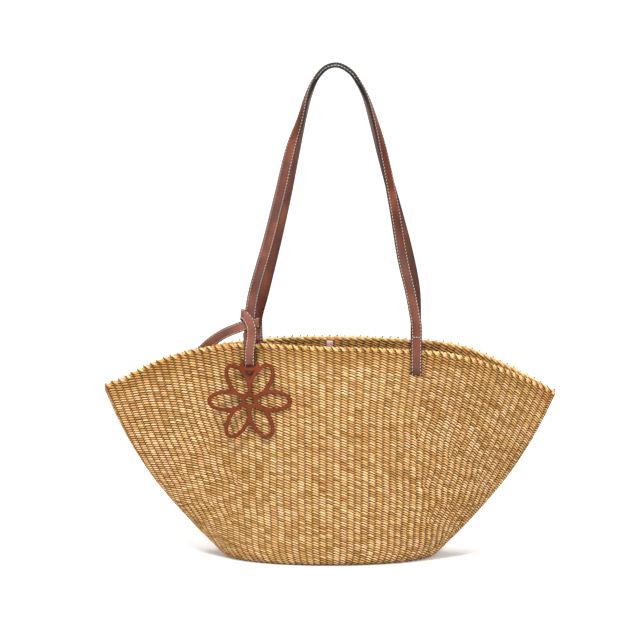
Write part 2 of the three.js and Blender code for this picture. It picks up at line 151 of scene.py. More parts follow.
# Stakes added on the way up, by base interval from the bag's end: heights as shares of the wall's.
BIRTHS = {
    0: (0.06, 0.34), 1: (0.15,), 2: (0.46,), 3: (0.10,), 4: (0.30,),
    5: (0.55,), 6: (0.22,), 7: (0.40,), 8: (0.62,),
}

# Base
BASE_LENGTH = 224 * MM
BASE_DEPTH = 120 * MM
BASE_STAKE_PITCH = 6.6 * MM
BASE_MIDDLE = 2 * MM

# Outline of the wall from the base to its top edge, as shares of the bag's sizes.
# Columns: height in the middle and at the ends, half width, half depth, lens (0 oval, 1 pointed).
UP, TIP_UP, REACH, DEPTH, LENS = range(5)
LEVELS = np.array([
    (0.000, 0.000, 0.448, 0.805, 0.00),
    (0.007, 0.007, 0.464, 0.856, 0.00),
    (0.030, 0.028, 0.486, 0.906, 0.00),
    (0.082, 0.080, 0.524, 0.948, 0.03),
    (0.205, 0.190, 0.604, 0.987, 0.12),
    (0.370, 0.342, 0.705, 1.000, 0.32),
    (0.536, 0.502, 0.798, 0.973, 0.55),
    (0.704, 0.674, 0.880, 0.913, 0.77),
    (0.852, 0.834, 0.944, 0.826, 0.92),
    (1.000, 1.000, 1.000, 0.698, 1.00),
])

# The mouth's hand-made waves: rises above the plain fall of the rim, which fade out down the wall.
# Columns: share of the half width, spread in such shares, rise; by face (-1 front).
TIP_WAVES = ((-1.0, 0.05, 5.0 * MM), (1.0, 0.05, -1.0 * MM))
RIM_WAVES = {
    -1: ((-0.42, 0.30, 5.5 * MM), (0.58, 0.25, 4.8 * MM), *TIP_WAVES),
    1: ((0.60, 0.20, 5.6 * MM), (0.0, 0.55, 1.6 * MM), *TIP_WAVES),
}
WAVE_FADE = 4

# How late the wall's top drops towards each end, by face (-1 front) and side (-1 left).
SHOULDER_POWER = {(-1, -1): 3.8, (1, -1): 3.0, (-1, 1): 2.3, (1, 1): 2.7}

# Straps from the left foot over the top, where both run alike, to the right one. Columns: share of
# the feet's spread, of the drop and of the foot's distance from the middle, degrees from lying on
# top to facing out.
TOP_ROUTE = [
    (-0.155, 0.940, 0.060, 2), (-0.035, 0.975, 0.010, 0), (0.095, 0.982, 0.000, 0),
    (0.245, 0.958, 0.020, 0), (0.345, 0.918, 0.080, 4), (0.430, 0.868, 0.160, 10),
    (0.522, 0.785, 0.270, 24),
]
FRONT_ROUTE = np.array([
    (-0.950, 0.070, 0.990, 90), (-0.920, 0.166, 0.900, 90), (-0.727, 0.374, 0.700, 90),
    (-0.593, 0.531, 0.540, 88), (-0.459, 0.688, 0.380, 68), (-0.334, 0.793, 0.260, 36),
    (-0.245, 0.885, 0.140, 14), *TOP_ROUTE, (0.610, 0.688, 0.380, 44), (0.745, 0.496, 0.570, 62),
    (0.860, 0.304, 0.760, 80), (0.960, 0.180, 0.890, 90), (1.020, 0.070, 0.990, 90),
])
BACK_ROUTE = np.array([
    (-0.890, 0.070, 0.990, 90), (-0.820, 0.150, 0.920, 90), (-0.649, 0.359, 0.720, 88),
    (-0.540, 0.510, 0.570, 76), (-0.440, 0.660, 0.420, 52), (-0.345, 0.785, 0.270, 28),
    (-0.250, 0.880, 0.150, 10), *TOP_ROUTE, (0.630, 0.670, 0.400, 44), (0.800, 0.486, 0.580, 66),
    (0.960, 0.300, 0.760, 84), (1.040, 0.174, 0.890, 90), (1.055, 0.070, 0.990, 90),
])

# One stake's end at the mouth, bent over its neighbour and tucked away outside, and a straw that
# does the same inside. Columns: stakes along, millimetres outward and up from the border's middle.
BORDER_BEND = np.array([
    (-0.36, -0.2, 0.7), (-0.12, 0.3, 1.7), (0.22, 0.9, 1.6),
    (0.56, 1.5, 0.4), (0.86, 1.5, -0.9), (1.04, 0.9, -1.8),
]) * (1, MM, MM)
# Shares of the way along it, and how thick the straw is there, or how much of its colour shows, the
# rest painted shade where its ends tuck in.
BORDER_TAPER = ((0.0, 0.13, 0.33, 0.73, 1.0), (0.55, 0.9, 1.0, 0.95, 0.5))
BORDER_PAINTED_LIGHT = ((0.0, 0.13, 0.73, 0.87, 1.0), (0.5, 1.0, 1.0, 0.7, 0.05))
BORDER_STEPS = 2
BORDER_HALF = 1.3 * MM
INNER_SHIFT = 0.3
BORDER_JITTER = 0.08

# The stake's cut end, which stands up from the border: columns as in the bend.
NUB_BEND = np.array([
    (0.42, 2.5, -0.2), (0.22, 2.4, 1.3), (0.05, 1.6, 2.8), (-0.08, 0.6, 4.1),
]) * (1, MM, MM)
NUB_JITTER = (0.03, 0.15 * MM, 0.4 * MM)
NUB_HALF = 0.8 * MM
NUB_TAPER = (1.2, 0.8)
# How much of the cut end's colour shows from its foot to its tip, the rest painted shade, and how
# pale its straw is.
NUB_PAINTED_LIGHT = (0.05, 0.4)
NUB_TINT = 0.3

# Section of a leather band, across and out from -1 to 1, with a stitched channel near each edge.
BAND_SECTION = np.array([
    (0.95, 0.9), (0.78, 0.84), (0.55, 1.0), (0.0, 1.04), (-0.55, 1.0), (-0.78, 0.84), (-0.95, 0.9),
    (-1.0, 0.5), (-1.0, -0.5), (-0.95, -0.92), (0.0, -1.0), (0.95, -0.92), (1.0, -0.5), (1.0, 0.5),
])
BAND_STEPS = 8
STITCH_PITCH = 3.4 * MM
STITCH_LENGTH = 2.2 * MM
STITCH_HALF = 0.3 * MM
STITCH_SIDES = 4
STITCH_ACROSS = 0.76
STITCH_SLANT = 0.07

# Where a stitch lies in the leather, as shares of its thickness: along an edge, across a band.
STITCH_SEAT = 0.43
CROSS_STITCH_SEAT = 0.46

# A stitch from end to end: shares of half its length, rise above its seat, thickness.
STITCH_SHARES = np.array([-1.0, -0.85, -0.3, 0.3, 0.85, 1.0])
STITCH_RISE = np.array([-0.5, 0.1, 0.45, 0.45, 0.1, -0.5]) * MM
STITCH_TAPER = np.array([0.5, 0.9, 1, 1, 0.9, 0.5])

# Where three stitches cross a strap: knots from its end, and shares of its half width.
SEWN_KNOT = 13.3
CROSS_STITCHES = (-0.5, 0, 0.5)

# The strip's tail inside the basket, up over the front rim towards the knot.
# Columns: shares of the bag's half width, half depth and height.
TAIL = np.array([
    (-0.688, -0.054, 0.745), (-0.660, -0.094, 0.828), (-0.604, -0.174, 0.921),
    (-0.536, -0.295, 1.000), (-0.468, -0.483, 1.054),
])
TAIL_FACING = np.array([-0.35, -1.0, 0.0])

# The knots of the front strap's left leg that the strip is tied round.
LEG_KNOTS = slice(10, 19)
LEG_STEPS = 60

# Rings of the charm, and how they are made one body.
RING_STEPS = 96
RING_SIDES = 12
RING_SQUARENESS = 0.4
FUSE_VOXEL = 0.65 * MM
FUSE_FACTOR = 0.5
FUSE_SMOOTHING = 4
EDGE_FADE = 0.6

# The tab from its lower end up, and its stitches, as shares of half its height.
TAB_RISE = (-0.98, -0.5, 0.0, 0.5)
TAB_STITCHES = (0.55, 0.72)
# Its upper end curls over the inside of the border. Columns: above the tab's top, inwards.
TAB_CURL = np.array([(-1.5, 0.7), (1.4, 1.6), (4.2, 1.9)]) * MM

# Straw in screen colours. Columns: pale, golden, brown, and the painted shade where strands dive
# and on their lower sides.
STRAWS = {
    "straw": ((248, 206, 154), (220, 173, 108), (168, 116, 50), (44, 17, 0)),
    "straw_border": ((242, 206, 152), (224, 180, 120), (182, 130, 68), (56, 26, 0)),
}
BLUSH = (216, 156, 106)

# Leather in screen colours. Columns: deep, main, light, edge, gloss.
LEATHERS = {
    "strap_leather": ((62, 26, 13), (86, 40, 24), (114, 61, 43), (24, 17, 17), 0.4),
    "tie_leather": ((88, 44, 30), (108, 59, 43), (128, 78, 62), (30, 21, 21), 0.36),
    "tab_leather": ((242, 196, 200), (250, 212, 216), (254, 226, 232), (226, 180, 180), 0.5),
}
PAINTED_EDGE = 0.9
CUT_EDGE = 0.8

# Floor, which glows a little so that it stays as pale as the wall behind, and less near the bag.
FLOOR_GLOW = 0.6
NEAR_GLOW = 0.3
GLOW_REACH = 4.0
FLOOR_MIDDLE = 0.01
FLOOR_RADIUS = 6.0
FLOOR_CURVE = 2.5
FLOOR_BENDS = 13
FLOOR_SIDES = 96

# Soft boxes. Columns: x, y, z, width, power, each aimed at the bag's middle.
LAMPS = {
    "key": (-0.7, -2.0, 2.7, 0.6, 82),
    "fill": (0.7, -2.7, 1.2, 0.8, 28),
    "top": (0.2, 0.5, 2.6, 1.6, 44),
}
LAMP_TARGET = np.array([0, 0, 0.2])
WORLD_LIGHT = 0.3

# Picture
CAMERA_PLACE = (-0.011, -2.7, 0.540)
CAMERA_PITCH = 5.84
SENSOR = 36
FOCAL = 137.9


class Signal:
    """A node's output that takes part in arithmetic; each expression adds its Math nodes."""

    def __init__(self, finish, socket):
        self.finish = finish
        self.socket = socket

    def math(self, operation, first, second):
        return self.finish.node("ShaderNodeMath", {"operation": operation}, {0: first, 1: second})

    def __add__(self, other):
        return self.math("ADD", self, other)

    def __sub__(self, other):
        return self.math("SUBTRACT", self, other)

    def __rsub__(self, other):
        return self.math("SUBTRACT", other, self)

    def __mul__(self, other):
        return self.math("MULTIPLY", self, other)

    def __gt__(self, other):
        return self.math("GREATER_THAN", self, other)

    def __abs__(self):
        return self.math("ABSOLUTE", self, 0.0)

    __radd__ = __add__
    __rmul__ = __mul__


class Finish:
    """A material under construction."""

    def __init__(self, name):
        self.material = bpy.data.materials.new(name)
        self.material.use_nodes = True
        self.tree = self.material.node_tree
        self.tree.nodes.clear()

    def node(self, kind, settings, sockets, result=0):
        """Adds a node, sets it, gives its sockets their values or links, and returns one output."""
        made = self.tree.nodes.new(kind)
        for name, value in settings.items():
            if name == "stops":
                self.set_stops(made.color_ramp.elements, value)
            else:
                setattr(made, name, value)
        for name, value in sockets.items():
            if isinstance(value, Signal):
                self.tree.links.new(value.socket, made.inputs[name])
            else:
                made.inputs[name].default_value = value
        return Signal(self, made.outputs[result])

    @staticmethod
    def set_stops(elements, stops):
        while len(elements) < len(stops):
            elements.new(0.5)
        for element, (place, color) in zip(elements, stops):
            element.position = place
            element.color = color

    def attribute(self, name):
        return self.node("ShaderNodeAttribute", {"attribute_name": name}, {}, "Fac")

    def place(self):
        return self.node("ShaderNodeTexCoord", {}, {}, "Object")

    def noise(self, scale, detail):
        sockets = {"Vector": self.place(), "Scale": scale, "Detail": detail}
        return self.node("ShaderNodeTexNoise", {}, sockets, "Fac")

    def ramp(self, value, *stops):
        return self.node("ShaderNodeValToRGB", {"stops": stops}, {"Fac": value}, "Color")

    def mix(self, factor, first, second):
        """Blends two colours, which a Mix node has on its sockets 6, 7 and, mixed, 2."""
        sockets = {0: factor, 6: first, 7: second}
        return self.node("ShaderNodeMix", {"data_type": "RGBA"}, sockets, 2)

    def bump(self, height, strength, distance):
        sockets = {"Height": height, "Strength": strength, "Distance": distance}
        return self.node("ShaderNodeBump", {}, sockets, "Normal")

    def done(self, **sockets):
        """Ends the material with its shader, whose sockets are named with _ for a space."""
        named = {name.replace("_", " "): value for name, value in sockets.items()}
        shader = self.node("ShaderNodeBsdfPrincipled", {}, named)
        output = self.tree.nodes.new("ShaderNodeOutputMaterial")
        self.tree.links.new(shader.socket, output.inputs["Surface"])
        return self.material


def srgb(red, green, blue):
    """Linear colour of an 8-bit screen colour."""
    shares = [value / 255 for value in (red, green, blue)]
    return (*[s / 12.92 if s <= 0.04045 else ((s + 0.055) / 1.055) ** 2.4 for s in shares], 1.0)


def grey(value):
    return (value, value, value, 1.0)


def straw_finish(name):
    """Dry plant strands: a colour for each strand and fibres, with painted shade where strands dive
    and on their lower sides.
    """
    pale, golden, brown, painted_shade_color = [srgb(*color) for color in STRAWS[name]]
    paint = Finish(name)
    fibre = paint.noise(scale=900, detail=4)
    patch = paint.noise(scale=26, detail=2)
    tone = paint.attribute("tint") * 0.5 + fibre * 0.3 + patch * 0.24
    color = paint.ramp(tone, (0.18, brown), (0.5, golden), (0.82, pale))
    blush = paint.ramp(paint.noise(scale=75, detail=3), (0.5, grey(0)), (0.75, grey(0.6)))
    color = paint.mix(blush, color, srgb(*BLUSH))
    # Painted shade: a strand turns dark where its attribute says that little of its colour shows.
    shown = paint.mix(paint.attribute("crest"), painted_shade_color, color)
    normal = paint.bump(fibre, strength=0.35, distance=0.4 * MM)
    return paint.done(Base_Color=shown, Roughness=fibre * 0.2 + 0.65, Normal=normal,
                      Specular_IOR_Level=0.08)


def core_finish():
    """Stakes seen through the gaps of the weave, coloured dark brown as painted shade."""
    paint = Finish("stakes_in_painted_shade")
    grain = paint.noise(scale=300, detail=3)
    color = paint.ramp(grain, (0.3, srgb(70, 36, 6)), (0.7, srgb(112, 66, 20)))
    normal = paint.bump(grain, strength=0.3, distance=0.4 * MM)
    return paint.done(Base_Color=color, Roughness=grain * 0.1 + 0.8, Normal=normal)


def leather_finish(name):
    """Smooth leather with painted edges, fine grain and slight wear."""
    *colors, gloss = LEATHERS[name]
    deep, main, light, edge = [srgb(*color) for color in colors]
    paint = Finish(name)
    cloud = paint.noise(scale=38, detail=3)
    grain = paint.noise(scale=1500, detail=2)
    color = paint.ramp(cloud, (0.3, deep), (0.52, main), (0.75, light))
    rim = abs(paint.attribute("across")) > PAINTED_EDGE
    side = 1 - (abs(paint.attribute("facing")) > CUT_EDGE)
    painted = paint.node("ShaderNodeMath", {"operation": "MAXIMUM"}, {0: rim, 1: side})
    color = paint.mix(painted, color, edge)
    normal = paint.bump(grain, strength=0.18, distance=0.2 * MM)
    return paint.done(Base_Color=color, Roughness=gloss + cloud * 0.14, Normal=normal,
                      Specular_IOR_Level=0.3)


def charm_finish():
    """Matte red-brown leather, darker on its cut edges."""
    paint = Finish("charm_leather")
    cloud = paint.noise(scale=60, detail=3)
    grain = paint.noise(scale=1300, detail=3)
    color = paint.ramp(cloud, (0.3, srgb(92, 36, 13)), (0.7, srgb(110, 48, 22)))
    color = paint.mix(paint.attribute("facing"), srgb(54, 24, 14), color)
    normal = paint.bump(grain, strength=0.25, distance=0.3 * MM)
    return paint.done(Base_Color=color, Roughness=cloud * 0.16 + 0.5, Normal=normal,
                      Specular_IOR_Level=0.12)


def thread_finish():
    """Waxed cream thread with its ply."""
    paint = Finish("thread")
    ply = paint.noise(scale=2400, detail=2)
    color = paint.ramp(ply, (0.3, srgb(176, 156, 136)), (0.7, srgb(222, 208, 190)))
    normal = paint.bump(ply, strength=0.2, distance=0.2 * MM)
    return paint.done(Base_Color=color, Roughness=ply * 0.2 + 0.5, Normal=normal)


def floor_finish():
    """Pale matte studio surface."""
    paint = Finish("studio_surface")
    color = paint.ramp(paint.noise(scale=3, detail=2), (0.2, grey(0.92)), (0.8, grey(0.95)))
    sockets = {0: paint.place(), 1: (1 / GLOW_REACH,) * 3}
    shrunk = paint.node("ShaderNodeVectorMath", {"operation": "MULTIPLY"}, sockets)
    ball = {"gradient_type": "SPHERICAL"}
    near = paint.node("ShaderNodeTexGradient", ball, {"Vector": shrunk}, "Fac")
    glow = paint.ramp(near, (0.4, grey(1)), (0.95, grey(NEAR_GLOW)))
    return paint.done(Base_Color=color, Roughness=0.8, Specular_IOR_Level=0.1,
                      Emission_Color=glow, Emission_Strength=FLOOR_GLOW)


class Heap:
    """Gathers lofted strands into one mesh, with a number for each point under each name."""

    def __init__(self, *names):
        self.names = names
        self.points = []
        self.values = {name: [] for name in names}
        self.faces = []
        self.count = 0

    def loft(self, rings, closed=False, **values):
        """Skin over rings by points by 3, capped unless it closes and never below the floor."""
        length, sides = rings.shape[:2]
        rings[..., 2] = np.maximum(rings[..., 2], 0)
        self.points.append(rings.reshape(-1, 3))
        for name in self.names:
            column = np.broadcast_to(values[name], (length, sides))
            self.values[name].append(column.reshape(-1))
        grid = np.arange(length * sides).reshape(length, sides) + self.count
        first, second = grid[:-1], grid[1:]
        if closed:
            first, second = grid, np.roll(grid, -1, axis=0)
        quads = np.stack([
            first, np.roll(first, -1, axis=1), np.roll(second, -1, axis=1), second,
        ], axis=-1)
        self.faces.append(quads.reshape(-1, 4))
        if not closed:
            self.faces.append(grid[:1, ::-1])
            self.faces.append(grid[-1:])
        self.count += length * sides

    def tube(self, centres, side, up, half_side, half_up, sides=STRAND_SIDES, **values):
        """Oval strand along centres, its section spanned by side and up."""
        angles = np.arange(sides) / sides * 2 * math.pi
        across = np.cos(angles)[None, :, None] * (side * half_side[:, None])[:, None, :]
        rise = np.sin(angles)[None, :, None] * (up * half_up[:, None])[:, None, :]
        self.loft(centres[:, None, :] + across + rise, **values)

    def mesh(self, name):
        mesh = bpy.data.meshes.new(name)
        points = np.vstack(self.points)
        mesh.vertices.add(len(points))
        mesh.vertices.foreach_set("co", points.astype(np.float32).ravel())
        corners = np.concatenate([faces.ravel() for faces in self.faces])
        sizes = np.concatenate([np.full(len(faces), faces.shape[1]) for faces in self.faces])
        mesh.loops.add(len(corners))
        mesh.loops.foreach_set("vertex_index", corners.astype(np.int32))
        mesh.polygons.add(len(sizes))
        mesh.polygons.foreach_set("loop_start", (np.cumsum(sizes) - sizes).astype(np.int32))
        mesh.update(calc_edges=True)
        mesh.shade_smooth()
        for value_name, parts in self.values.items():
            layer = mesh.attributes.new(value_name, "FLOAT", "POINT")
            layer.data.foreach_set("value", np.concatenate(parts).astype(np.float32))
        return mesh

    def piece(self, name, material, slot, node):
        """The mesh as a piece of the bag, riding with it, that stands for a CAD node."""
        piece = linked(name, self.mesh(name))
        piece.data.materials.append(material)
        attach(piece, "root")
        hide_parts(node)
        return piece


def linked(name, data):
    """New object of the scene for a mesh, a camera or a light."""
    item = bpy.data.objects.new(name, data)
    bpy.context.scene.collection.objects.link(item)
    return item


def unit(vectors):
    return vectors / np.linalg.norm(vectors, axis=-1, keepdims=True)


def between(start, stop, leave, arrive, share):
    """Smooth way from start to stop that leaves and arrives with the given slopes."""
    bend = 3 * (stop - start) - 2 * leave - arrive
    twist = 2 * (start - stop) + leave + arrive
    return start + leave * share + bend * share**2 + twist * share**3


def level_at(t):
    """Smooth row of the outline at t, from 0 at the base to 1 at the rim."""
    place = min(max(t, 0.0), 1.0) * (len(LEVELS) - 1)
    first = min(int(place), len(LEVELS) - 2)
    share = place - first
    start = LEVELS[first]
    stop = LEVELS[first + 1]
    leave = (stop - LEVELS[max(first - 1, 0)]) / 2
    arrive = (LEVELS[min(first + 2, len(LEVELS) - 1)] - start) / 2
    return between(start, stop, leave, arrive, share)


def plan_share(s, lens):
    """Half depth of the wall's plan at s, the signed share of its half width."""
    oval = np.sqrt(np.maximum(1 - s * s, 0))
    side = np.maximum((1 - np.abs(s)) / (1 - CREASE_SHARE), TINY)
    panel = (1 + side ** -CREASE_SHARPNESS) ** (-1 / CREASE_SHARPNESS)
    return oval * (1 - lens) + panel * lens


def height_at(level, s, face):
    middle = level[UP] * WALL_TOP
    tip = level[TIP_UP] * WALL_TOP_AT_TIP
    power = np.where(s < 0, SHOULDER_POWER[face, -1], SHOULDER_POWER[face, 1])
    wave = 0
    for place, spread, rise in RIM_WAVES[face]:
        wave = wave + rise * np.exp(-((s - place) / spread) ** 2)
    return middle + (tip - middle) * np.abs(s) ** power + wave * level[UP] ** WAVE_FADE


def inner_reach(level):
    return level[REACH] * BAG_WIDTH / 2 - WALL


def inner_depth(level):
    return level[DEPTH] * BAG_DEPTH / 2 - WALL


def wall_line(t, face, offset=WALL / 2):
    """Line round one face at level t, left to right, and its outward directions."""
    level = level_at(t)
    s = -np.cos(np.linspace(0, math.pi, LINE_POINTS))
    depth = face * inner_depth(level) * plan_share(s, level[LENS])
    depth[[0, -1]] = 0
    inner = np.stack([s * inner_reach(level), depth, height_at(level, s, face)], axis=1)
    beyond = inner[[1, -2]] * (1, -1, 1)
    ring = np.vstack([beyond[:1], inner, beyond[1:]])
    along = ring[2:] - ring[:-2]
    outward = unit(np.stack([-face * along[:, 1], face * along[:, 0], 0 * along[:, 0]], axis=1))
    return inner + outward * offset, outward


def lengths_along(points):
    steps = np.linalg.norm(np.diff(points, axis=0), axis=1)
    return np.concatenate([[0], np.cumsum(steps)])


def resample(places, known, rows):
    """Rows of numbers at the places wanted, from rows at known places."""
    return np.stack([np.interp(places, known, column) for column in rows.T], axis=1)


def row_levels():
    """Levels of the weave's rows, evenly spaced up the middle of the front."""
    fine = np.linspace(0, 1, PROFILE_POINTS)
    levels = [level_at(t) for t in fine]
    profile = np.array([(inner_depth(level), level[UP] * WALL_TOP) for level in levels])
    up = lengths_along(profile)
    woven = up[-1] - FIRST_ROW_RISE
    rows = int(woven / ROW_PITCH)
    return np.interp(FIRST_ROW_RISE + np.arange(rows + 1) * woven / rows, up, fine)


def quarter_widths(v):
    """Relative gaps between stakes on a quarter of the wall, from its end to the middle."""
    widths = []
    for index in range(QUARTER_STAKES):
        gaps = [1.0]
        for birth in BIRTHS.get(index, ()):
            if v > birth:
                grown = min((v - birth) / BIRTH_RAMP, 1)
                half = gaps.pop(0) * (0.5 + grown / 2)
                gaps[:0] = [half, half]
        widths += gaps
    return np.array(widths)


def stake_places(v, middle, total):
    """Where the stakes stand along one face's line, left to right."""
    widths = quarter_widths(v)
    left = np.cumsum(widths) / widths.sum() * middle
    right = total - (total - middle) * np.cumsum(widths)[::-1] / widths.sum()
    return np.concatenate([[0], left, right[1:], [total]])


def strap_feet(route, face):
    return [(route[end, 0] * FOOT_SPREAD, face) for end in (0, -1)]


def part_rows(points, face):
    """Strands make room above and below where a strap passes through the wall."""
    route = FRONT_ROUTE if face < 0 else BACK_ROUTE
    for x, _ in strap_feet(route, face):
        across = (points[:, 0] - x) / (STRAP_WIDTH * SLOT_REACH)
        above = points[:, 2] - SLOT_HEIGHT
        room = np.sqrt(np.clip(1 - across**2, 0, 1)) * np.exp(-np.abs(above) / (2 * ROW_PITCH))
        points[:, 2] += np.sign(above) * room * SLOT_PARTING
    return points


def twine_row(heap, line, outward, rise, stakes, face, flip=1, tone=1.0, shade=1.0):
    """Two strands twisted round the stakes of one row, one in front while the other is behind.

    The rise is the way to the next row. A flip of -1 turns the twist over, tone says how pale the
    strands are, lowered as painted shade under the border, and shade how much of their colour
    shows.
    """
    count = len(stakes) - 1
    stitch = np.repeat(np.arange(count + 1), len(STITCH_SHAPE))
    shape = np.tile(STITCH_SHAPE, (count + 1, 1))
    turn = np.clip(stitch + shape[:, 0], 0, count)
    places = np.interp(turn, np.arange(count + 1), stakes)
    known = lengths_along(line)
    centres = resample(places, known, line)
    out = resample(places, known, outward)
    up = resample(places, known, rise)
    pitch = np.linalg.norm(up, axis=1)
    up = unit(up)
    wave = chance.normal(0, ROW_JITTER, count + 1)
    lift = np.interp(turn, np.arange(count + 1), wave)
    front = shape[:, 1]
    for phase in (0, 1):
        side = np.where((stitch + phase) % 2, -1.0, 1.0)
        climb = face * flip * side * shape[:, 2] * pitch
        over = np.sign(climb) * (1 - front)
        sway = (side * front + over * DIVE_OUT) * STRAND_SWAY
        path = centres + out * sway[:, None] + up * (climb + lift)[:, None]
        if flip == 1:
            path = part_rows(path, face)
        fat = 1 + chance.normal(0, THICKNESS_JITTER, count + 1)
        size = fat[stitch] * (DIVE_SIZE + (1 - DIVE_SIZE) * front)
        tint = tone * chance.random(count + 1)[stitch]
        # Painted light and shade at the dives: lit at a stitch's high end, dark at its low end.
        dive_painted_light = np.where(over[:, None] * SECTION_OUT > 0, DIVE_PAINTED_LIGHT, DIVE_PAINTED_SHADE)
        # Painted shade: the lower sides of each strand, its dives and the rows by the floor take
        # the dark gap colour.
        crest = shade * np.where(front[:, None] > 0, 1, dive_painted_light) * SECTION_PAINTED_LIGHT
        half_up = pitch / 2 * STRAND_FILL * size
        heap.tube(path, out, up, STRAND_DEPTH * size, half_up, tint=tint[:, None], crest=crest)


def build_wall(finish):
    """The twined wall: a front and a back, each in a lower and an upper piece."""
    levels = row_levels()
    low_rows = int(len(levels) * LOW_SHARE)
    for face, face_name in ((-1, "front"), (1, "back")):
        lines = [wall_line(t, face) for t in levels]
        rim, rim_outward = lines[-1]
        lines.append((rim + (0, 0, ROW_PITCH), rim_outward))
        top = len(lines) - 1
        heaps = {"low": Heap("tint", "crest"), "high": Heap("tint", "crest")}
        for row, (line, outward) in enumerate(lines):
            below = lines[max(row - 1, 0)][0]
            above = lines[min(row + 1, top)][0]
            rise = (above - below) / (2 if 0 < row < top else 1)
            known = lengths_along(line)
            v = row / (len(levels) - 1)
            stakes = stake_places(v, known[len(known) // 2], known[-1])
            heap = heaps["low" if row < low_rows else "high"]
            # Painted shade: browner strands under the border, and less of the colour showing in the
            # rows by the floor.
            tone = np.interp(top - row, *RIM_PAINTED_SHADE)
            shade = np.interp(row, *FOOT_SHADE)
            twine_row(heap, line, outward, rise, stakes, face, tone=tone, shade=shade)
        for part, heap in heaps.items():
            heap.piece(f"weave_{face_name}_{part}", finish, "straw", "basket_body")


def base_line(share):
    """Oval of the base at a share of its size, shrinking to a straight spine."""
    angles = np.linspace(0, 2 * math.pi, LINE_POINTS)
    half_depth = BASE_DEPTH / 2 * share
    half_length = (BASE_LENGTH - BASE_DEPTH) / 2 + half_depth
    x = np.cos(angles)
    y = np.sin(angles)
    flat = 0 * angles
    line = np.stack([x * half_length, y * half_depth, flat + BASE_MIDDLE], axis=1)
    outward = unit(np.stack([x * half_depth, y * half_length, flat], axis=1))
    return line, outward


def build_base(finish):
    """The twined base, ring by ring from its spine."""
    heap = Heap("tint", "crest")
    rings = int(BASE_DEPTH / 2 / ROW_PITCH)
    for ring in range(rings):
        line, outward = base_line((ring + 0.5) / rings)
        total = lengths_along(line)[-1]
        count = 2 * round(total / BASE_STAKE_PITCH / 2)
        down = np.broadcast_to((0.0, 0.0, -1.0), outward.shape)
        stakes = np.linspace(0, total, count + 1)
        twine_row(heap, line, down, outward * ROW_PITCH, stakes, 1, flip=-1)
    heap.piece("weave_base", finish, "straw", "basket_body")


def core_ring(t, offset):
    front = wall_line(t, -1, WALL / 2 + offset)[0][:-1:CORE_POINTS]
    back = wall_line(t, 1, WALL / 2 + offset)[0][:0:-CORE_POINTS]
    return np.vstack([front, back])


def build_core(finish):
    """Thin layer of stakes in the middle of the wall and floor, dark with painted shade."""
    levels = row_levels()[::CORE_ROWS]
    border = (0, 0, GAP + BRAID_HEIGHT / 2)
    outer = [*[core_ring(t, CORE_HALF) for t in levels], core_ring(1, CORE_HALF) + border]
    inner = [core_ring(1, -CORE_HALF) + border, *[core_ring(t, -CORE_HALF) for t in levels[::-1]]]
    foot = np.array([1, 1, 0])
    under = [outer[0] * share + (0, 0, BASE_MIDDLE - CORE_HALF) for share in (CORE_SPINE, foot)]
    over = [inner[-1] * share + (0, 0, BASE_MIDDLE + CORE_HALF) for share in (foot, CORE_SPINE)]
    heap = Heap()
    heap.loft(np.array([*under, *outer, *inner, *over]))
    heap.piece("stake_layer", finish, "straw", "basket_body")


def mouth_line():
    """The border's middle line all the way round, its outward directions and its stakes' places."""
    lift = np.array([0, 0, GAP + BRAID_HEIGHT / 2])
    front, front_out = wall_line(1, -1)
    back, back_out = wall_line(1, 1)
    line = np.vstack([front, back[-2::-1]]) + lift
    outward = np.vstack([front_out, back_out[-2::-1]])
    known = lengths_along(line)
    front_stakes = stake_places(1, known[len(front) // 2], known[len(front) - 1])
    back_known = lengths_along(back)
    back_stakes = stake_places(1, back_known[len(back) // 2], back_known[-1])
    stakes = np.concatenate([front_stakes, known[-1] - back_stakes[-2::-1]])
    return line, outward, known, stakes


def round_mouth(route, stake, mouth):
    """Points of a route given in stakes along, outward and up, laid on the mouth's line."""
    line, outward, known, stakes = mouth
    count = len(stakes) - 1
    turns = stake + route[:, 0]
    whole = np.floor(turns / count)
    places = np.interp(turns - whole * count, np.arange(count + 1), stakes)
    centre = resample(places, known, line)
    out = unit(resample(places, known, outward))
    return centre + out * route[:, 1:2] + np.array([0, 0, 1]) * route[:, 2:3]


def smooth_route(knots, steps):
    """Centripetal curve through the knots, with steps points for each gap between two."""
    knots = np.asarray(knots, float)
    ends = np.vstack([2 * knots[0] - knots[1], knots, 2 * knots[-1] - knots[-2]])
    gaps = np.sqrt(np.linalg.norm(np.diff(ends, axis=0), axis=1))
    share = (np.arange(steps) / steps)[:, None]
    parts = []
    for i in range(len(knots) - 1):
        before, start, stop, after = ends[i:i + 4]
        middle = gaps[i + 1] if gaps[i + 1] > SAME_PLACE else 1.0
        first = gaps[i] if gaps[i] > SAME_PLACE else middle
        last = gaps[i + 2] if gaps[i + 2] > SAME_PLACE else middle
        slope = (stop - start) / middle
        leave = (start - before) / first - (stop - before) / (first + middle) + slope
        arrive = slope - (after - start) / (middle + last) + (after - stop) / last
        parts.append(between(start, stop, leave * middle, arrive * middle, share))
    return np.vstack([*parts, knots[-1:]])


def directions(points):
    return unit(np.gradient(points, axis=0))


def bent_strand(heap, points, half, **values):
    """Round strand along any route, kept upright, with half its thickness at each point."""
    along = directions(points)
    side = unit(np.cross(along, (0.0, 0.0, 1.0)) + NUDGE)
    heap.tube(points, side, np.cross(side, along), half, half, **values)


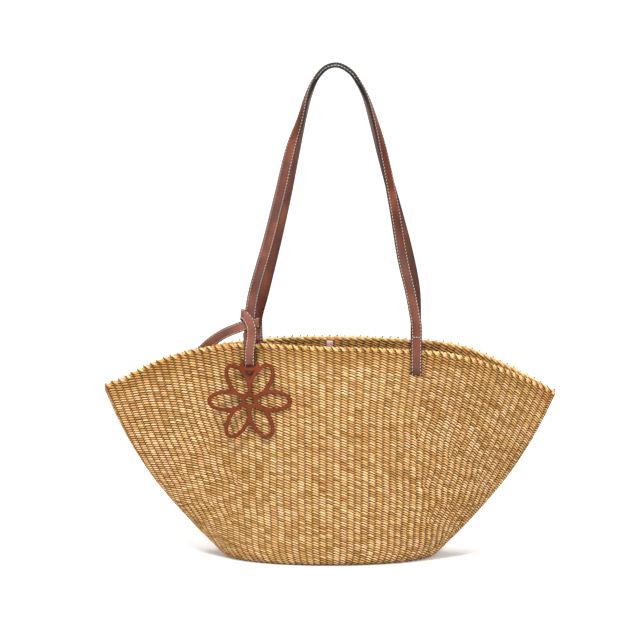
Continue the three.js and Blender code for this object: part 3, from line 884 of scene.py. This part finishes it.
def build_border(finish):
    """The mouth's binding: a straw bent over each stake on both sides, and the stake's cut end."""
    mouth = mouth_line()
    heap = Heap("tint", "crest")
    shares = np.linspace(0, 1, (len(BORDER_BEND) - 1) * BORDER_STEPS + 1)
    taper = np.interp(shares, *BORDER_TAPER)
    # Painted shade at the straw's ends, where they tuck in.
    crest = np.interp(shares, *BORDER_PAINTED_LIGHT)
    for stake in range(len(mouth[3]) - 1):
        for turned, start in ((1, stake), (-1, stake + INNER_SHIFT)):
            lean = (1, 1 + chance.normal(0, BORDER_JITTER), 1)
            bend = smooth_route(BORDER_BEND, BORDER_STEPS) * lean
            points = round_mouth(bend * (turned, turned, 1), start, mouth)
            size = 1 + chance.normal(0, BORDER_JITTER)
            tint = chance.random()
            bent_strand(heap, points, BORDER_HALF * (taper * size), tint=tint, crest=crest[:, None])
        nub = NUB_BEND + chance.normal(0, 1, NUB_BEND.shape) * NUB_JITTER
        points = round_mouth(smooth_route(nub, BORDER_STEPS), stake, mouth)
        half = NUB_HALF * np.linspace(*NUB_TAPER, len(points))
        tint = NUB_TINT * chance.random()
        # Painted shade, deepest at the cut end's foot.
        shown = np.linspace(*NUB_PAINTED_LIGHT, len(points))[:, None]
        bent_strand(heap, points, half, tint=tint, crest=shown)
    heap.piece("mouth_border", finish, "straw_border", "rim_braid")


def wall_depth(x, z, face, outer):
    """Distance of the wall's inner or outer face from the middle plane at x and height z."""
    low, high = 0.0, 1.0
    for _ in range(HALVINGS):
        middle = (low + high) / 2
        level = level_at(middle)
        if height_at(level, np.float64(x / inner_reach(level)), face) < z:
            low = middle
        else:
            high = middle
    level = level_at(low)

    def depth_at(where):
        share = np.float64(where / inner_reach(level))
        return inner_depth(level) * float(plan_share(share, level[LENS]))

    slope = (depth_at(x + MM) - depth_at(x - MM)) / (2 * MM)
    return depth_at(x) + (WALL * math.hypot(1, slope) if outer else 0)


def leg_depths(x, face, z):
    """Depths of a strap's legs outside and inside the wall at height z."""
    near_middle = math.copysign(abs(x) - STRAP_WIDTH / 2, x)
    near_tip = math.copysign(abs(x) + STRAP_WIDTH / 2, x)
    overhang = BRAID_OVERHANG if z > WALL_TOP - 2 * BRAID_HEIGHT else 0
    stand = GAP + overhang + STRAP_THICKNESS / 2
    outer = wall_depth(near_middle, min(z, WALL_TOP - BRAID_HEIGHT), face, True) + stand
    inner = wall_depth(near_tip, min(z, WALL_TOP), face, False) - stand - GAP
    return outer, inner


def foot_knots(x, face):
    """From the strap's sewn end down inside the wall, out through it and up outside to the rim."""
    out = np.array([0.0, face, 0.0])
    down = np.array([0.0, 0.0, -1.0])
    rim_outer, rim_inner = leg_depths(x, face, BAG_HEIGHT)
    below = BAG_HEIGHT - 3 * BRAID_HEIGHT
    below_outer, below_inner = leg_depths(x, face, below)
    low_outer = leg_depths(x, face, SLOT_HEIGHT - BEND_RADIUS)[0]
    low_inner = leg_depths(x, face, SLOT_HEIGHT + 2 * BEND_RADIUS)[1]
    corner = BEND_RADIUS * (1 - math.sqrt(0.5))
    sewn = rim_outer - STRAP_THICKNESS - GAP
    stitch = BAG_HEIGHT + STITCH_ABOVE_RIM
    rows = [
        (sewn, stitch + STITCH_PAD_HEIGHT / 2, -out),
        (sewn, stitch - STITCH_PAD_HEIGHT / 2, -out),
        (rim_inner, BAG_HEIGHT, -out),
        (rim_inner, BAG_HEIGHT - BRAID_HEIGHT, -out),
        (below_inner, below, -out),
        (low_inner, SLOT_HEIGHT + BEND_RADIUS, -out),
        (low_inner + corner, SLOT_HEIGHT + corner, unit(down - out)),
        (low_inner + BEND_RADIUS, SLOT_HEIGHT, down),
        (low_outer - BEND_RADIUS, SLOT_HEIGHT, down),
        (low_outer - corner, SLOT_HEIGHT + corner, unit(down + out)),
        (low_outer, SLOT_HEIGHT + BEND_RADIUS, out),
        (below_outer, below, out),
        (rim_outer, BAG_HEIGHT - BRAID_HEIGHT, out),
        (rim_outer, BAG_HEIGHT + BRAID_HEIGHT, out),
    ]
    return [(np.array([x, face * depth, z]), facing) for depth, z, facing in rows]


def arch_knots(route, face):
    """The free part of a strap, with its quarter twist on each side of the top."""
    depths = [leg_depths(x, face, BAG_HEIGHT)[0] for x, _ in strap_feet(route, face)]
    foot = np.where(route[:, 0] < 0, depths[0], depths[1])
    points = np.stack([
        route[:, 0] * FOOT_SPREAD, face * route[:, 2] * foot, BAG_HEIGHT + route[:, 1] * STRAP_DROP,
    ], axis=1)
    knots = []
    for i, turn in enumerate(np.radians(route[:, 3])):
        last = points[max(i - 1, 0)]
        after = points[min(i + 1, len(points) - 1)]
        upward = unit(np.array([last[2] - after[2], 0, after[0] - last[0]]))
        facing = upward * math.cos(turn) + np.array([0, face * math.sin(turn), 0])
        knots.append((points[i] - upward * face * STACK_OFFSET * math.cos(turn), facing))
    return knots


def strap_knots(route, face):
    left, right = strap_feet(route, face)
    return [*foot_knots(*left), *arch_knots(route, face), *foot_knots(*right)[::-1]]


def band_frame(knots):
    """Fine route of a band: centres, and unit vectors along, across and out of it."""
    centres = smooth_route([place for place, _ in knots], BAND_STEPS)
    facing = smooth_route([face for _, face in knots], BAND_STEPS)
    along = directions(centres)
    out = unit(facing - along * np.sum(facing * along, axis=1, keepdims=True))
    return centres, along, np.cross(out, along), out


def build_band(heap, knots, width, thickness):
    centres, _, side, out = band_frame(knots)
    sideways, outward = BAND_SECTION.T
    across = side[:, None, :] * (sideways * width / 2)[None, :, None]
    rise = out[:, None, :] * (outward * thickness / 2)[None, :, None]
    heap.loft(centres[:, None, :] + across + rise, across=sideways, facing=outward)


def one_stitch(heap, centre, along, side, out):
    """A short plump thread that dives into the leather at both ends."""
    reach = STITCH_LENGTH / 2
    points = centre + along * (STITCH_SHARES * reach)[:, None] + out * STITCH_RISE[:, None]
    count = len(points)
    half = STITCH_HALF * STITCH_TAPER
    heap.tube(points, np.tile(side, (count, 1)), np.tile(out, (count, 1)), half, half, STITCH_SIDES)


def edge_stitches(heap, knots, width, thickness):
    """Slanted stitches along both edges of a band's outer face."""
    centres, along, side, out = band_frame(knots)
    known = lengths_along(centres)
    places = np.arange(STITCH_PITCH / 2, known[-1], STITCH_PITCH)
    spots = [resample(places, known, rows) for rows in (centres, along, side, out)]
    for centre, forward, sideways, outward in zip(*spots):
        for edge in (-1, 1):
            start = centre + sideways * edge * STITCH_ACROSS * width / 2
            start = start + outward * thickness * STITCH_SEAT
            lean = unit(forward * STITCH_LENGTH - sideways * STITCH_SLANT * width)
            one_stitch(heap, start, lean, unit(np.cross(outward, lean)), outward)


def cross_stitches(heap, knots, place):
    """A short row of stitches across a strap where its end is sewn behind it."""
    centres, along, side, out = band_frame(knots)
    ring = int(place * BAND_STEPS)
    for share in CROSS_STITCHES:
        start = centres[ring] + side[ring] * share * STRAP_WIDTH / 2
        start = start + out[ring] * STRAP_THICKNESS * CROSS_STITCH_SEAT
        one_stitch(heap, start, side[ring], along[ring], out[ring])


def stitched_band(name, slot, knots, size, leather, thread, sewn=()):
    """A band and its stitches, along the edges and across it at the knots where it is sewn."""
    band = Heap("across", "facing")
    build_band(band, knots, *size)
    band.piece(f"{name}_leather", leather, slot, name)
    stitches = Heap()
    edge_stitches(stitches, knots, *size)
    for place in sewn:
        cross_stitches(stitches, knots, place)
    stitches.piece(f"{name}_stitches", thread, slot, name)


def build_straps(leather, thread):
    """Both shoulder straps with their stitching."""
    for name, route, face in (("front_strap", FRONT_ROUTE, -1), ("back_strap", BACK_ROUTE, 1)):
        knots = strap_knots(route, face)
        size = (STRAP_WIDTH, STRAP_THICKNESS)
        sewn = (SEWN_KNOT, len(knots) - 1 - SEWN_KNOT)
        stitched_band(name, "strap_leather", knots, size, leather, thread, sewn)


def left_leg():
    """Fine route of the front strap's left leg: centres and unit vectors across, along and out."""
    knots = strap_knots(FRONT_ROUTE, -1)[LEG_KNOTS]
    centres = smooth_route([place for place, _ in knots], LEG_STEPS)
    up = directions(centres)
    side = unit(np.array([1.0, 0, 0]) - up * up[:, :1])
    return centres, side, up, np.cross(side, up)


def leg_spot(leg, z):
    return [resample([z], leg[0][:, 2], rows)[0] for rows in leg]


def tie_knots():
    """The strip's route: over the rim, round the strap twice, down through the charm's eye and up.

    Columns of its rows: across, up and out from the strap's middle at the knot, and the strip's
    facing as shares across, out and along the strap.
    """
    leg = left_leg()
    half = STRAP_WIDTH / 2
    first = TIE_STAND
    second = first + TIE_THICKNESS + GAP
    fold = FOLD_RADIUS
    outer = first + 2 * fold
    slack = 2 * GAP
    wrap = (first + second) / 2
    wrap_middle = (second - first) / 2
    bow = math.sqrt(0.5)
    front = (0, 1, 0)
    back = (0, -1, 0)
    wide = TIE_WIDTH
    fold_up = FOLD_ABOVE_RIM - KNOT_ABOVE_RIM
    rows = [
        (-1.18 * wide, -0.45 * wide, first + slack, front),
        (-0.55 * wide, -0.18 * wide, first + GAP, front),
        (0, 0, first + GAP, front),
        (half, 0.09 * wide, first, front),
        (half + first * bow, 0.14 * wide, first * bow, (1, 1, 0)),
        (half + first, 0.18 * wide, 0, (1, 0, 0)),
        (half + first * bow, 0.23 * wide, -first * bow, (1, -1, 0)),
        (half, 0.27 * wide, -first, back),
        (0, 0.46 * wide, -first - GAP, back),
        (-half, 0.68 * wide, -first, back),
        (-half - wrap * bow, 0.77 * wide, wrap_middle - wrap * bow, (-1, -1, 0)),
        (-half - wrap, 0.86 * wide, wrap_middle, (-1, 0, 0)),
        (-half - wrap * bow, 0.86 * wide, wrap_middle + wrap * bow, (-1, 1, 0)),
        (-half, 0.77 * wide, second, front),
        (-0.14 * wide, 0.36 * wide, second + slack, front),
        (0.18 * wide, -0.36 * wide, second + slack, front),
        (0.23 * wide, -1.09 * wide, second + slack, front),
        (0.09 * wide, -2.00 * wide, outer - GAP, front),
        (0, fold_up + 0.91 * wide, outer, front),
        (0, fold_up, outer, front),
        (0, fold_up - fold * bow, first + fold * (1 + bow), (0, 1, -1)),
        (0, fold_up - fold, first + fold, (0, 0, -1)),
        (0, fold_up - fold * bow, first + fold * (1 - bow), (0, -1, -1)),
        (0, fold_up, first, back),
        (0, fold_up + 0.91 * wide, first, back),
        (-0.09 * wide, -1.82 * wide, first, back),
        (-0.14 * wide, -0.86 * wide, first, back),
    ]
    tail = TAIL * (BAG_WIDTH / 2, BAG_DEPTH / 2, BAG_HEIGHT)
    knots = [(place, unit(TAIL_FACING)) for place in tail]
    for across, up, out, facing in rows:
        centre, side, along, away = leg_spot(leg, BAG_HEIGHT + KNOT_ABOVE_RIM + up)
        face = side * facing[0] + away * facing[1] + along * facing[2]
        knots.append((centre + side * across + away * out, face))
    return knots


def build_tie(leather, thread):
    size = (TIE_WIDTH, TIE_THICKNESS)
    stitched_band("charm_tie", "tie_leather", tie_knots(), size, leather, thread)


def plate_frame(node):
    """Middle, up, out and half height of a flat CAD plate that is turned about X alone."""
    points = np.array([vertex.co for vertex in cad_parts[node].data.vertices])
    middle = (points.min(axis=0) + points.max(axis=0)) / 2
    out = np.linalg.eigh(np.cov(points.T))[1][:, 0]
    out = out * -np.sign(out[1])
    up = unit(np.cross(out, (1.0, 0.0, 0.0)))
    up = up * np.sign(up[2])
    heights = (points - middle) @ up
    depths = (points - middle) @ out
    return middle + out * (depths.max() + depths.min()) / 2, up, out, heights.max()


def oval_ring(heap, middle, up, out, angle, x, z, width, height):
    """Flat leather ring with softened edges, turned by angle in the charm's plane."""
    side = np.array([1.0, 0, 0])
    angles = np.arange(RING_STEPS) / RING_STEPS * 2 * math.pi
    long = side * math.cos(angle) + up * math.sin(angle)
    short = up * math.cos(angle) - side * math.sin(angle)
    half_x = (width - CHARM_BAND) / 2
    half_y = (height - CHARM_BAND) / 2
    cosine = np.cos(angles)[:, None]
    sine = np.sin(angles)[:, None]
    line = middle + side * x + up * z + long * (cosine * half_x) + short * (sine * half_y)
    outward = unit(long * (cosine * half_y) + short * (sine * half_x))
    section = (np.arange(RING_SIDES) + 0.5) / RING_SIDES * 2 * math.pi
    across = np.sign(np.cos(section)) * np.abs(np.cos(section)) ** RING_SQUARENESS
    rise = np.sign(np.sin(section)) * np.abs(np.sin(section)) ** RING_SQUARENESS
    rings = line[:, None, :] + outward[:, None, :] * (across * CHARM_BAND / 2)[None, :, None]
    heap.loft(rings + out * (rise * CHARM_THICKNESS / 2)[None, :, None], closed=True)


def build_charm(leather):
    """Openwork rosette cut from one piece of thick leather."""
    middle, up, out, top = plate_frame("charm")
    centre = middle + up * (top - CHARM_RADIUS)
    heap = Heap()
    oval_ring(heap, centre, up, out, 0, 0, 0, 2 * HUB_RADIUS, 2 * HUB_RADIUS)
    petal_centre = CHARM_RADIUS - PETAL_LENGTH / 2
    for petal in range(PETAL_COUNT):
        angle = petal / PETAL_COUNT * 2 * math.pi
        oval_ring(heap, centre, up, out, angle, math.cos(angle) * petal_centre,
                  math.sin(angle) * petal_centre, PETAL_LENGTH, PETAL_WIDTH)
    eye_width = TIE_WIDTH + 2 * EYE_CLEARANCE + 2 * CHARM_BAND
    oval_ring(heap, centre, up, out, 0, 0, CHARM_RADIUS - EYE_HEIGHT / 2, eye_width, EYE_HEIGHT)
    rough = heap.piece("charm_rosette", leather, "charm_leather", "charm")
    fuse(rough)
    mark_facing(rough.data, out)


def fuse(piece):
    """Makes crossing rings one body with soft edges."""
    remesh = piece.modifiers.new("one_body", "REMESH")
    remesh.mode = "VOXEL"
    remesh.voxel_size = FUSE_VOXEL
    remesh.use_smooth_shade = True
    soften = piece.modifiers.new("soft_edges", "SMOOTH")
    soften.factor = FUSE_FACTOR
    soften.iterations = FUSE_SMOOTHING
    view = bpy.context.evaluated_depsgraph_get()
    fused = bpy.data.meshes.new_from_object(piece.evaluated_get(view))
    piece.modifiers.clear()
    piece.data = fused


def mark_facing(mesh, out):
    """Stores how far each point's surface faces the plate's front or back."""
    normals = np.array([vertex.normal for vertex in mesh.vertices])
    layer = mesh.attributes.new("facing", "FLOAT", "POINT")
    layer.data.foreach_set("value", (np.abs(normals @ out) ** EDGE_FADE).astype(np.float32))


def build_tab(leather, thread):
    """Small tongue of leather inside the back wall, with two stitches across it."""
    middle, up, out, top = plate_frame("inner_tab")
    low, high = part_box("inner_tab")
    width = high.x - low.x
    knots = [(middle + up * share * top, out) for share in TAB_RISE]
    for rise, lean in TAB_CURL:
        knots.append((middle + up * (top + rise) + out * lean, out))
    band = Heap("across", "facing")
    build_band(band, knots, width, TIE_THICKNESS)
    band.piece("inner_tab_leather", leather, "tab_leather", "inner_tab")
    stitches = Heap()
    for rise in TAB_STITCHES:
        start = middle + up * rise * top + out * TIE_THICKNESS * CROSS_STITCH_SEAT
        one_stitch(stitches, start, np.array([1.0, 0, 0]), up, out)
    stitches.piece("inner_tab_stitches", thread, "tab_leather", "inner_tab")


def build_floor():
    """A flat floor that curves up into a pale wall on all sides."""
    bends = np.linspace(0, math.pi / 2, FLOOR_BENDS)
    radii = np.concatenate([[FLOOR_MIDDLE], FLOOR_RADIUS + FLOOR_CURVE * np.sin(bends)])
    heights = np.concatenate([[0], FLOOR_CURVE * (1 - np.cos(bends))])
    turns = np.arange(FLOOR_SIDES) / FLOOR_SIDES * 2 * math.pi
    circle = np.stack([np.cos(turns), np.sin(turns), 0 * turns], axis=1)
    rings = circle[None] * radii[:, None, None] + np.array([0, 0, 1]) * heights[:, None, None]
    mesh = bpy.data.meshes.new("studio_floor")
    grid = np.arange(len(radii) * FLOOR_SIDES).reshape(len(radii), FLOOR_SIDES)
    faces = [grid[0].tolist()]
    for inner, outer in zip(grid[:-1], grid[1:]):
        faces += np.stack([inner, outer, np.roll(outer, -1), np.roll(inner, -1)], axis=1).tolist()
    mesh.from_pydata(rings.reshape(-1, 3).tolist(), [], faces)
    mesh.shade_smooth()
    mesh.materials.append(floor_finish())
    linked("studio_floor", mesh)


def add_camera():
    camera = bpy.data.cameras.new("photo_view")
    camera.sensor_width = SENSOR
    camera.lens = FOCAL
    holder = linked("photo_view", camera)
    holder.location = CAMERA_PLACE
    holder.rotation_euler = (math.radians(90 - CAMERA_PITCH), 0, 0)
    bpy.context.scene.camera = holder


def add_lights():
    for name, (x, y, z, width, power) in LAMPS.items():
        lamp = bpy.data.lights.new(name, "AREA")
        lamp.size = width
        lamp.energy = power
        holder = linked(name, lamp)
        holder.location = (x, y, z)
        back = unit(np.array([x, y, z]) - LAMP_TARGET)
        holder.rotation_euler = (math.acos(back[2]), 0, math.atan2(back[0], -back[1]))
    bpy.context.scene.view_settings.view_transform = "Standard"
    world = bpy.data.worlds.new("studio")
    world.use_nodes = True
    light = world.node_tree.nodes["Background"].inputs
    light["Color"].default_value = (1, 1, 1, 1)
    light["Strength"].default_value = WORLD_LIGHT
    bpy.context.scene.world = world


def build_bag():
    straw = straw_finish("straw")
    thread = thread_finish()
    build_wall(straw)
    build_base(straw)
    build_core(core_finish())
    build_border(straw_finish("straw_border"))
    build_straps(leather_finish("strap_leather"), thread)
    build_tie(leather_finish("tie_leather"), thread)
    build_charm(charm_finish())
    build_tab(leather_finish("tab_leather"), thread)


add_camera()
add_lights()
build_floor()
build_bag()
